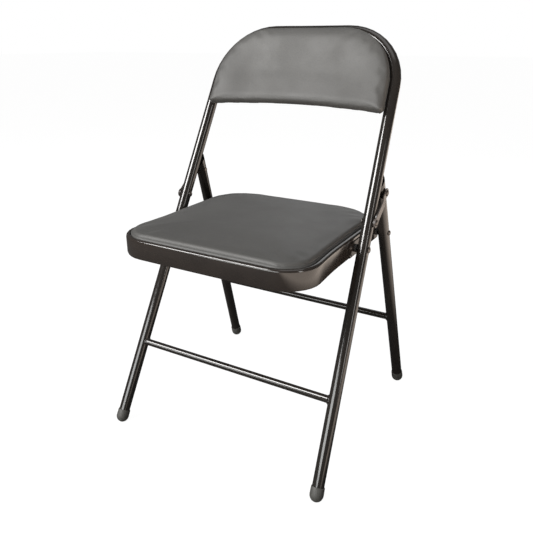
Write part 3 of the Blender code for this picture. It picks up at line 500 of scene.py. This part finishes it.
def bridge(shape, rings, closed_loop=False, caps=False):
    """Join rings of points, one after another, with four-sided faces."""
    made = [[shape.verts.new(point) for point in ring] for ring in rings]
    pairs = list(zip(made, made[1:]))
    if closed_loop:
        pairs.append((made[-1], made[0]))
    for first, second in pairs:
        count = len(first)
        for index in range(count):
            after = (index + 1) % count
            shape.faces.new((first[index], first[after], second[after], second[index]))
    if caps:
        shape.faces.new(made[0])
        shape.faces.new(list(reversed(made[-1])))


def apply_modifiers(thing):
    """Swap the mesh for what its modifiers make of it, and drop them."""
    graph = bpy.context.evaluated_depsgraph_get()
    mesh = bpy.data.meshes.new_from_object(thing.evaluated_get(graph))
    old = thing.data
    thing.modifiers.clear()
    thing.data = mesh
    bpy.data.meshes.remove(old)


def drift(x, y, scale, seed):
    """A slow unevenness between -1 and 1."""
    return noise.noise(Vector((x * scale, y * scale, seed)))


# ---------------------------------------------------------------- pads

def remesh(thing, size):
    """Rebuild a skin as even squares of this size."""
    modifier = thing.modifiers.new("voxels", "REMESH")
    modifier.mode = "VOXEL"
    modifier.voxel_size = size
    apply_modifiers(thing)


def inflate(thing, is_held, cap):
    """Swell a pad with air pressure, held where is_held says, moving no point more than cap."""
    rest = [vertex.co.copy() for vertex in thing.data.vertices]
    held = thing.vertex_groups.new(name="held")
    held.add([k for k, co in enumerate(rest) if is_held(co)], 1.0, "REPLACE")
    modifier = thing.modifiers.new("swell", "CLOTH")
    settings = modifier.settings
    settings.quality = 5
    settings.mass = 0.3
    settings.use_pressure = True
    settings.uniform_pressure_force = PRESSURE
    settings.tension_stiffness = CLOTH_STIFFNESS
    settings.compression_stiffness = CLOTH_STIFFNESS
    settings.shear_stiffness = SHEAR_STIFFNESS
    settings.bending_stiffness = BENDING_STIFFNESS
    settings.vertex_group_mass = held.name
    settings.effector_weights.gravity = 0.0
    modifier.point_cache.frame_start = 1
    modifier.point_cache.frame_end = LAST_FRAME
    for step in range(1, LAST_FRAME + 1):
        bpy.context.scene.frame_set(step)
    apply_modifiers(thing)
    bpy.context.scene.frame_set(1)
    thing.vertex_groups.clear()
    for vertex, start in zip(thing.data.vertices, rest):
        moved = vertex.co - start
        if moved.length > cap:
            vertex.co = start + moved * (cap / moved.length)


def fair(thing):
    """Smooth a skin without shrinking it: a step in, then a slightly longer step out."""
    mesh = thing.data
    count = len(mesh.vertices)
    places = np.empty(count * 3)
    mesh.vertices.foreach_get("co", places)
    places = places.reshape(count, 3)
    edges = np.empty(len(mesh.edges) * 2, dtype=int)
    mesh.edges.foreach_get("vertices", edges)
    first, second = edges.reshape(-1, 2).T
    shares = np.bincount(edges, minlength=count).reshape(-1, 1)
    for _ in range(FAIR_ROUNDS):
        for step in (FAIR_IN, FAIR_OUT):
            total = np.zeros_like(places)
            np.add.at(total, first, places[second])
            np.add.at(total, second, places[first])
            places = places + step * (total / shares - places)
    mesh.vertices.foreach_set("co", places.ravel())
    mesh.update()


def subdivide(thing):
    """Split every face once, rounding the skin."""
    modifier = thing.modifiers.new("subdivide", "SUBSURF")
    modifier.levels = 1
    modifier.render_levels = 1
    apply_modifiers(thing)
    thing.data.shade_smooth()


def seat_flare(y):
    """How much wider than at its hinges the seat is, y from the front feet."""
    share = smoothstep((FLARE_START - y) / (FLARE_START - FLARE_END))
    return 1.0 + SEAT_FLARE / SEAT_HALF_WIDTH * share


def seat_edge(x, y):
    """Distance in from the seat's outline, positive inside."""
    y = y + CENTRE_Y
    x = x / seat_flare(y)
    ahead = y < SEAT_MIDDLE
    radius = SEAT_FRONT_CORNER if ahead else SEAT_REAR_CORNER
    front = SEAT_FRONT + SEAT_FRONT_BOW * (x / SEAT_HALF_WIDTH) ** 2
    reach = (SEAT_MIDDLE - front) if ahead else (SEAT_REAR - SEAT_MIDDLE)
    over_x = abs(x) - (SEAT_HALF_WIDTH - radius)
    over_y = abs(y - SEAT_MIDDLE) - (reach - radius)
    outside = math.hypot(max(over_x, 0.0), max(over_y, 0.0)) + min(max(over_x, over_y), 0.0)
    return radius - outside


def seat_outline(inset):
    """The seat's outline as (x, y) points, drawn in by inset."""
    steps = SEAT_CORNER_STEPS
    wide = SEAT_HALF_WIDTH - inset
    front = SEAT_FRONT + SEAT_FRONT_BOW + inset
    rear = SEAT_REAR - inset
    front_radius = SEAT_FRONT_CORNER - inset
    rear_radius = SEAT_REAR_CORNER - inset
    corners = [(wide - front_radius, front + front_radius, front_radius, -90.0),
               (wide - rear_radius, rear - rear_radius, rear_radius, 0.0),
               (rear_radius - wide, rear - rear_radius, rear_radius, 90.0),
               (front_radius - wide, front + front_radius, front_radius, 180.0)]
    points = []
    for centre_x, centre_y, radius, start in corners:
        for step in range(steps + 1):
            angle = math.radians(start + 90.0 * step / steps)
            points.append((centre_x + radius * math.cos(angle), centre_y + radius * math.sin(angle)))
        if len(points) == steps + 1:
            points += [(wide, y) for y in FLARE_ROWS]
        elif len(points) == 3 * (steps + 1) + len(FLARE_ROWS):
            points += [(-wide, y) for y in reversed(FLARE_ROWS)]
    edge = wide - front_radius
    inner = range(1 - SEAT_FRONT_STEPS, SEAT_FRONT_STEPS)
    points += [(edge * k / SEAT_FRONT_STEPS, front) for k in inner]
    shaped = []
    for x, y in points:
        share = max(0.0, (SEAT_MIDDLE - y) / (SEAT_MIDDLE - front))
        bow = SEAT_FRONT_BOW * (1.0 - (x / SEAT_HALF_WIDTH) ** 2) * share
        shaped.append((x * seat_flare(y), y - bow - CENTRE_Y))
    return shaped


def cushion_top(depth, low, high):
    """Height of the cushion's skin at a distance in from its edge."""
    rolled = min(1.0, depth / CUSHION_EDGE_ROLL)
    shoulder = low + CUSHION_SHOULDER * math.sqrt(max(0.0, 1.0 - (1.0 - rolled) ** 2))
    dome = smoothstep(depth / CUSHION_DOME_REACH) ** CUSHION_DOME_POWER
    return shoulder + (high - low - CUSHION_SHOULDER) * dome


def make_cushion():
    """The seat cushion's vinyl: rolled sides and a low crown."""
    low, high = (corner.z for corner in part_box("seat_cushion"))
    shape = bmesh.new()
    inset = CUSHION_INSET + CUSHION_START
    rings = []
    for step in range(CUSHION_SIDE_STEPS + 1):
        turn = 0.5 * math.pi * step / CUSHION_SIDE_STEPS
        depth = CUSHION_EDGE_ROLL * (1.0 - math.cos(turn))
        height = low + CUSHION_SHOULDER * math.sin(turn)
        rings.append([Vector((x, y, height)) for x, y in seat_outline(inset + depth)])
    bridge(shape, rings, caps=True)
    cushion = piece("seat_cushion_vinyl", shape, LOOKS["vinyl"])
    remesh(cushion, CUSHION_VOXEL)
    floor = low + HELD_SHARE * CUSHION_VOXEL
    inflate(cushion, lambda co: co.z < floor, CUSHION_CAP)
    fair(cushion)
    for vertex in cushion.data.vertices:
        co = vertex.co
        depth = seat_edge(co.x, co.y) - CUSHION_INSET
        if co.z > floor:
            swell = cushion_top(depth, low, high) - (low + CUSHION_SHOULDER)
            co.z = max(low, min(high + CUSHION_SPARE_HEIGHT, co.z + max(0.0, swell)))
            uneven = CUSHION_DRIFT * drift(co.x, co.y, CUSHION_DRIFT_SCALE, CUSHION_DRIFT_SEED)
            co.z += uneven * smoothstep(depth / CUSHION_DRIFT_REACH)
        else:
            co.z = low
    subdivide(cushion)
    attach(cushion, "seat")
    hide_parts("seat_cushion")


def make_cushion_wrap():
    """The vinyl's turned-down edge round the seat board."""
    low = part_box("seat_board")[0].z
    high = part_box("seat_cushion")[0].z + WRAP_OVERLAP
    middle = 0.5 * (WRAP_OUTER + WRAP_INNER)
    under = high - 0.5 * WRAP_OVERLAP
    profile = [(WRAP_OUTER, high), (WRAP_OUTER, low + WRAP_CURL), (middle, low + WRAP_CLEARANCE),
               (WRAP_INNER, low + WRAP_CURL), (WRAP_INNER, under), (WRAP_FLANGE, under),
               (WRAP_FLANGE, high)]
    shape = bmesh.new()
    rings = [[Vector((x, y, z)) for x, y in seat_outline(inset)] for inset, z in profile]
    bridge(shape, rings, closed_loop=True)
    wrap = piece("seat_cushion_wrap", shape, LOOKS["vinyl"])
    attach(wrap, "seat")


def inside_arch(x, along):
    """Distance in from the front tube's centre line."""
    centre_along = TUBE_TOP_ALONG - ARCH_RADIUS
    centre_x = half_width(centre_along * math.cos(FRONT_LEAN)) - ARCH_RADIUS
    if along > centre_along and abs(x) > centre_x:
        return ARCH_RADIUS - math.hypot(abs(x) - centre_x, along - centre_along)
    return min(half_width(along * math.cos(FRONT_LEAN)) - abs(x), TUBE_TOP_ALONG - along)


def back_depth(x, along):
    """How far the hollow of the back lies behind its edge."""
    edge = half_width(along * math.cos(FRONT_LEAN))
    across = max(0.0, 1.0 - (x / edge) ** 2)
    share = smoothstep((inside_arch(x, along) - TUBE_RADIUS) / PAD_BLEND)
    return PAD_HOLLOW * across * share


def pad_outline(inset):
    """The pad's edge as (x, along) points, drawn in from the tube's centre line."""
    slope = NARROWING * math.cos(FRONT_LEAN)
    centre_along = TUBE_TOP_ALONG - ARCH_RADIUS
    edge = half_width(centre_along * math.cos(FRONT_LEAN)) - PAD_EDGE_INSET - inset
    radius_x = ARCH_RADIUS - PAD_EDGE_INSET - inset
    radius_y = ARCH_RADIUS - PAD_TOP_INSET - inset
    bottom = PAD_BOTTOM_ALONG + inset
    low_edge = edge + slope * (centre_along - bottom)
    corner = PAD_CORNER - inset
    right = []
    for step in range(PAD_CORNER_STEPS + 1):
        angle = math.pi / 2.0 * step / PAD_CORNER_STEPS
        right.append((low_edge - corner + corner * math.sin(angle),
                      bottom + corner - corner * math.cos(angle)))
    for step in range(PAD_ARC_STEPS + 1):
        angle = math.pi / 2.0 * step / PAD_ARC_STEPS
        right.append((edge - radius_x + radius_x * math.cos(angle),
                      centre_along + radius_y * math.sin(angle)))
    points = right + [(-x, along) for x, along in reversed(right)]
    inner = range(1 - PAD_BOTTOM_STEPS, PAD_BOTTOM_STEPS)
    points += [((low_edge - corner) * k / PAD_BOTTOM_STEPS, bottom) for k in inner]
    raised = []
    for x, along in points:
        share = max(0.0, 1.0 - (along - bottom) / PAD_RISE_REACH)
        raised.append((x, along + PAD_BOTTOM_RISE * (1.0 - (x / low_edge) ** 2) * share))
    return raised


def trimmed_bottom(x, along, behind):
    """Straightens the pad's lower edge where it meets the rear face."""
    low_edge = half_width(PAD_BOTTOM_ALONG * math.cos(FRONT_LEAN)) - PAD_EDGE_INSET
    line = PAD_BOTTOM_ALONG + PAD_START + PAD_BOTTOM_RISE * (1.0 - (x / low_edge) ** 2)
    if abs(x) > low_edge - PAD_TRIM_MARGIN or abs(along - line) > PAD_VOXEL:
        return along
    share = smoothstep((behind - PAD_REAR) / PAD_TRIM_DEPTH + PAD_TRIM_START)
    return along + (line - along) * share


def make_back_pad():
    """The back pad's vinyl: a rolled edge and a face that follows the hollow back."""
    shape = bmesh.new()
    rings = [[Vector((x, along, PAD_REAR)) for x, along in pad_outline(PAD_START)]]
    face = PAD_FRONT + PAD_CAP
    for step in range(PAD_ROLL_STEPS + 1):
        turn = 0.5 * math.pi * step / PAD_ROLL_STEPS
        inset = PAD_START + PAD_ROLL * (1.0 - math.cos(turn))
        depth = face + PAD_ROLL * (1.0 - math.sin(turn))
        rings.append([Vector((x, along, depth)) for x, along in pad_outline(inset)])
    bridge(shape, rings, caps=True)
    pad = piece("back_pad_vinyl", shape, LOOKS["vinyl"])
    remesh(pad, PAD_VOXEL)
    rear = PAD_REAR - HELD_SHARE * PAD_VOXEL
    inflate(pad, lambda co: co.z > rear, PAD_CAP)
    fair(pad)
    for vertex in pad.data.vertices:
        x, along, behind = vertex.co
        along = trimmed_bottom(x, along, behind)
        if behind > rear:
            behind = PAD_REAR
        if behind < rear:
            behind += PAD_DRIFT * drift(x, along, PAD_DRIFT_SCALE, PAD_DRIFT_SEED)
        vertex.co = front_point(x, along, behind + back_depth(x, along))
    subdivide(pad)
    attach(pad, "front_frame")
    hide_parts("back_pad", "back_board")


# ---------------------------------------------------------------- welds

def make_weld(name, side, height, point, lean, body):
    """A lumpy bead round a crossbar's end, on the saddle where it meets the tube."""
    along = height / math.cos(lean)
    slope = math.atan(NARROWING * math.cos(lean))
    spine = []
    for step in range(BEAD_STEPS):
        angle = 2.0 * math.pi * step / BEAD_STEPS
        up = (BAR_RADIUS + BEAD_OFFSET) * math.cos(angle)
        behind = (BAR_RADIUS + BEAD_OFFSET) * math.sin(angle)
        middle = half_width((along + up) * math.cos(lean))
        cope = math.sqrt(TUBE_RADIUS ** 2 - behind ** 2) / math.cos(slope)
        spine.append(point(side * (middle - cope), along + up, behind))
    rings = []
    centre = sum(spine, Vector()) / BEAD_STEPS
    for step, here in enumerate(spine):
        way = (spine[(step + 1) % BEAD_STEPS] - spine[step - 1]).normalized()
        out = (here - centre).normalized()
        out = (out - way * out.dot(way)).normalized()
        third = way.cross(out)
        ripple = 1.0 + BEAD_RIPPLE * math.sin(step * 2.0 * math.pi * BEAD_RIPPLES / BEAD_STEPS)
        ripple += BEAD_LUMPS * noise.noise(here * BEAD_LUMP_SCALE)
        turns = [2.0 * math.pi * k / BEAD_SIDES for k in range(BEAD_SIDES)]
        rings.append([here + (out * math.cos(turn) + third * math.sin(turn)) * BEAD_RADIUS * ripple
                      for turn in turns])
    shape = bmesh.new()
    bridge(shape, rings, closed_loop=True)
    bead = piece(name, shape, LOOKS["frame_paint"])
    subdivide(bead)
    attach(bead, body)


def make_welds():
    heights = {name: 0.5 * (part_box(name)[0].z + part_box(name)[1].z)
               for name in ("front_crossbar", "rear_crossbar")}
    for word, side in (("left", -1), ("right", 1)):
        make_weld(f"front_weld_{word}", side, heights["front_crossbar"], front_point, FRONT_LEAN,
                  "front_frame")
        make_weld(f"rear_weld_{word}", side, heights["rear_crossbar"], rear_point, REAR_LEAN,
                  "rear_frame")


# ---------------------------------------------------------------- stage

def make_camera():
    data = bpy.data.cameras.new("camera")
    data.lens = CAMERA_LENS
    data.sensor_width = SENSOR_WIDTH
    camera = bpy.data.objects.new("camera", data)
    camera.location = CAMERA_PLACE
    camera.rotation_euler = CAMERA_TURN
    bpy.context.scene.collection.objects.link(camera)
    bpy.context.scene.camera = camera


def make_floor():
    """A pale floor that is opaque from above only, with a warm glow on the chair's right."""
    shape = bmesh.new()
    corners = [(-1, -1), (1, -1), (1, 1), (-1, 1)]
    shape.faces.new([shape.verts.new((FLOOR_REACH * x, FLOOR_REACH * y, 0.0)) for x, y in corners])
    graph = Graph("look_floor")
    graph.colour(graph.mix(graph.noise(3.0, 3.0), FLOOR_DARK, FLOOR_LIGHT))
    graph.set(Roughness=0.9, IOR=1.2)
    paper = graph.nodes.new("ShaderNodeEmission")
    paper.inputs["Strength"].default_value = PAPER_GLOW
    warm = graph.nodes.new("ShaderNodeEmission")
    warm.inputs["Color"].default_value = (*WARM_COLOUR, 1.0)
    graph.links.new(graph.spread(graph.axis("X"), 0.0, WARM_GLOW, *WARM_EDGE), warm.inputs["Strength"])
    seen = graph.nodes.new("ShaderNodeLightPath").outputs["Is Camera Ray"]
    glow = graph.nodes.new("ShaderNodeMixShader")
    graph.links.new(seen, glow.inputs[0])
    graph.links.new(warm.outputs[0], glow.inputs[1])
    graph.links.new(paper.outputs[0], glow.inputs[2])
    above = graph.nodes.new("ShaderNodeAddShader")
    graph.links.new(graph.shader.outputs[0], above.inputs[0])
    graph.links.new(glow.outputs[0], above.inputs[1])
    clear = graph.nodes.new("ShaderNodeBsdfTransparent")
    choose = graph.nodes.new("ShaderNodeMixShader")
    sides = graph.nodes.new("ShaderNodeNewGeometry")
    graph.links.new(sides.outputs["Backfacing"], choose.inputs[0])
    graph.links.new(above.outputs[0], choose.inputs[1])
    graph.links.new(clear.outputs[0], choose.inputs[2])
    graph.links.new(choose.outputs[0], graph.nodes["Material Output"].inputs["Surface"])
    floor = piece("floor", shape, graph.material, smooth=False)


def make_light(name, place, target, size, power, colour):
    data = bpy.data.lights.new(name, "AREA")
    data.shape = "RECTANGLE"
    data.size = size[0]
    data.size_y = size[1]
    data.energy = power
    data.color = colour
    light = bpy.data.objects.new(name, data)
    light.location = place
    light.rotation_euler = (Vector(target) - Vector(place)).to_track_quat("-Z", "Y").to_euler()
    bpy.context.scene.collection.objects.link(light)


def make_world():
    """White behind the chair, and a dim studio in what it reflects."""
    world = bpy.data.worlds.new("studio")
    bpy.context.scene.world = world
    world.use_nodes = True
    nodes = world.node_tree.nodes
    links = world.node_tree.links
    room = nodes["Background"]
    room.inputs["Color"].default_value = (*ROOM_COLOUR, 1.0)
    paper = nodes.new("ShaderNodeBackground")
    paper.inputs["Color"].default_value = (*PAPER_WHITE, 1.0)
    choose = nodes.new("ShaderNodeMixShader")
    links.new(nodes.new("ShaderNodeLightPath").outputs["Is Camera Ray"], choose.inputs[0])
    links.new(room.outputs[0], choose.inputs[1])
    links.new(paper.outputs[0], choose.inputs[2])
    links.new(choose.outputs[0], nodes["World Output"].inputs["Surface"])


# ---------------------------------------------------------------- assembly

make_camera()
make_floor()
for light_facts in LIGHTS:
    make_light(*light_facts)
make_world()
dress_cad()
make_cushion()
make_cushion_wrap()
make_back_pad()
make_welds()
bpy.context.scene.view_settings.view_transform = "Standard"
bpy.context.view_layer.update()
